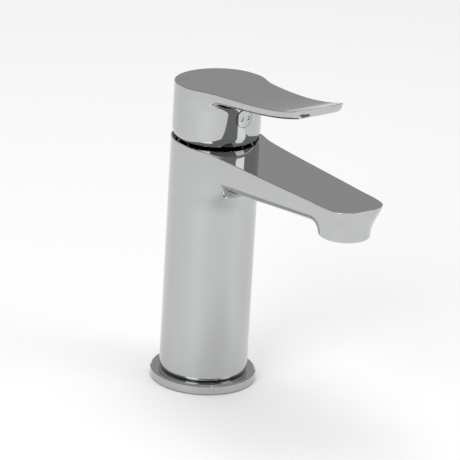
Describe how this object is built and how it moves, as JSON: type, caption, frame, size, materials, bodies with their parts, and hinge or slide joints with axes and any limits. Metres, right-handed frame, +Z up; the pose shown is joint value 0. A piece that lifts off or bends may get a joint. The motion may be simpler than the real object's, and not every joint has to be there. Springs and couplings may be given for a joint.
{
  "type": "basin mixer tap",
  "caption": "Single-lever basin mixer: round barrel on a base ring, flat-topped spout with a turned-down nozzle, and a lever on a ceramic disc cartridge.",
  "frame": {"origin": "on the deck, under the centre of the barrel", "axes": "+Z up along the barrel, +X along the spout, +Y to the cold side"},
  "size_m": [0.1485, 0.0538, 0.1705],
  "materials": {
    "polished_chrome": "polished",
    "satin_chrome": "satin",
    "steel": "brushed",
    "brass": "machined",
    "rubber": "moulded",
    "housing_plastic": "moulded",
    "guide_plastic": "moulded",
    "red_plastic": "moulded",
    "ceramic": "lapped"
  },
  "bodies": {
    "root": {"body": "polished_chrome", "base_ring": "polished_chrome", "base_gasket": "rubber", "cartridge_housing": "housing_plastic", "cartridge_base": "housing_plastic", "port_seals": "rubber", "disc_seals": "rubber", "fixed_disc": "ceramic", "stop_ring": "red_plastic", "retaining_nut": "brass", "aerator_shell": "satin_chrome", "aerator_insert": "housing_plastic", "aerator_screen": "steel", "aerator_seal": "rubber"},
    "swivel": {"swivel_guide": "guide_plastic", "pivot_pin": "steel"},
    "lever": {"lever_handle": "polished_chrome", "lever_stem": "brass", "grub_screw": "steel", "index_plug": "polished_chrome"},
    "disc": {"moving_disc": "ceramic", "disc_carrier": "guide_plastic"}
  },
  "joints": [
    {"name": "temperature_turn", "type": "hinge", "parent": "root", "child": "swivel", "pos_m": [0, 0, 0.13], "axis": [0, 0, 1], "range_deg": [-45, 45]},
    {"name": "flow_lift", "type": "hinge", "parent": "swivel", "child": "lever", "pos_m": [0, 0, 0.136], "axis": [0, -1, 0], "range_deg": [0, 20]},
    {"name": "disc_slide", "type": "slide", "parent": "swivel", "child": "disc", "axis": [1, 0, 0], "range_m": [0, 0.004]}
  ],
  "couplings": [
    {"joint": "disc_slide", "follows": "flow_lift", "m_per_rad": 0.011}
  ]
}
